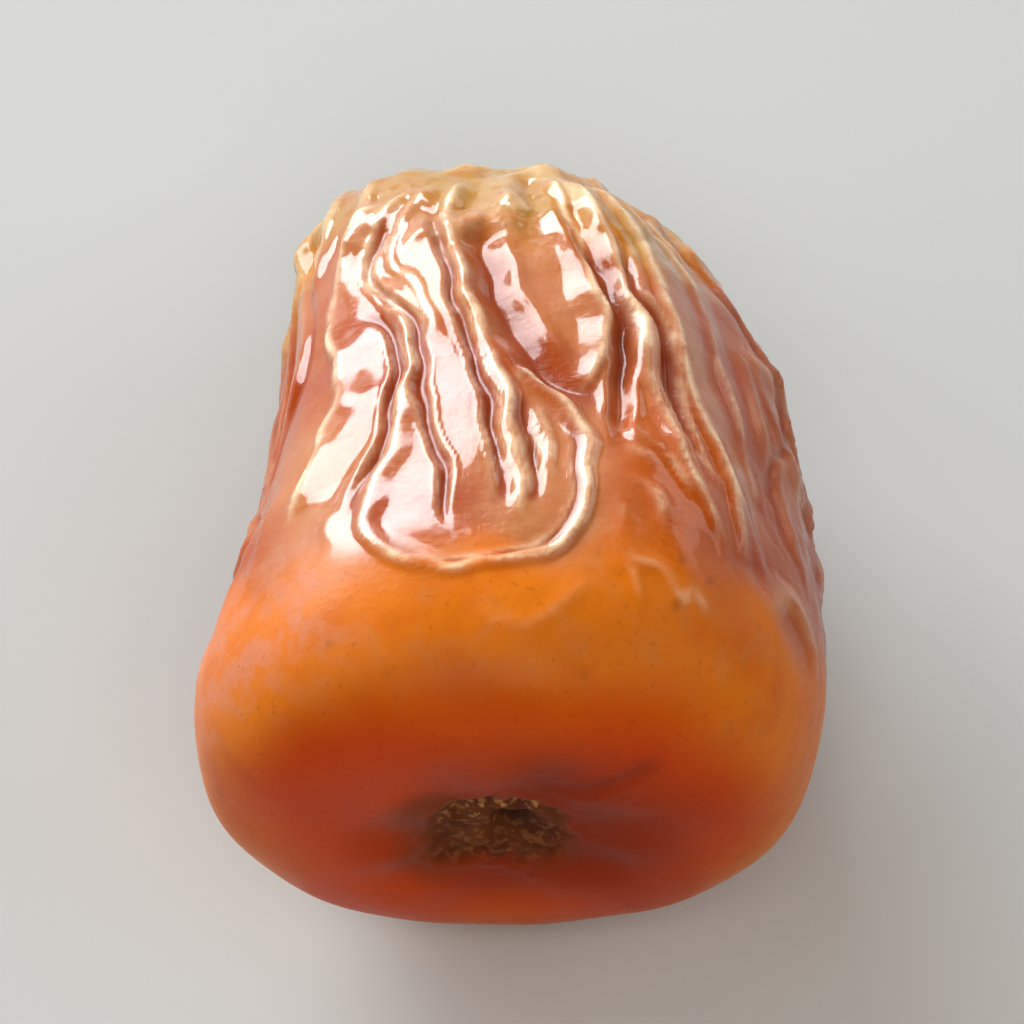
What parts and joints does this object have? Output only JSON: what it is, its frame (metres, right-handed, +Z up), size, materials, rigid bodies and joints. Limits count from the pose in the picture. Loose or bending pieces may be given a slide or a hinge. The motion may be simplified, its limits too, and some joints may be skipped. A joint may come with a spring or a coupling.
{
  "type": "date fruit",
  "caption": "Half-dried sukkari date without its cap: broad smooth stem end with a scar in a hollow, ridged and fluted skin, blunt tip. Lies on a small flat spot.",
  "frame": {"origin": "bottom centre of the date's box, in the plane of the flat spot that it rests on", "axes": "+Y along the date's length from the stem end to the tip, +Z up, +X to the right seen from the stem end"},
  "size_m": [0.0264, 0.0328, 0.0249],
  "materials": {
    "date_skin": "glossy, wet-looking date skin: waxy golden orange at the stem end, reddish orange-brown and wrinkled past it, pale tan at the tip, dark brown scar"
  },
  "bodies": {
    "root": {"date": "date_skin"}
  },
  "joints": []
}
